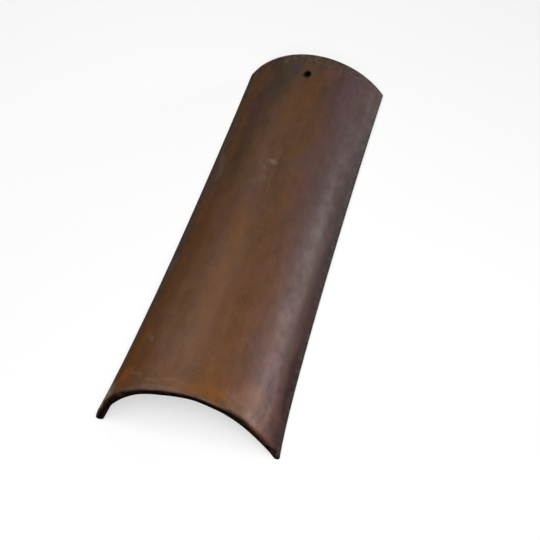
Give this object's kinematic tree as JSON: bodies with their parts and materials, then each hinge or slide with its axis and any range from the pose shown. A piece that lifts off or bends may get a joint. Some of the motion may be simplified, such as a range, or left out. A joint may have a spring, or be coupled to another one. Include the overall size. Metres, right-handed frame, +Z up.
{
  "type": "clay barrel roof tile",
  "caption": "Tapered barrel roof tile of flashed brown fired clay: an arch that widens to a lipped butt, with eased bed edges and a nail hole at the narrow head.",
  "frame": {"origin": "on the floor under the tile, at the centre of the bottom of its bounding box", "axes": "+Y along the tile from the wide butt to the narrow head, +Z up through the crown, +X across"},
  "size_m": [0.2, 0.5144, 0.079],
  "materials": {
    "fired_clay": "flashed brown, from rust to charcoal, with a low sheen"
  },
  "bodies": {
    "root": {"barrel_tile": "fired_clay"}
  },
  "joints": []
}
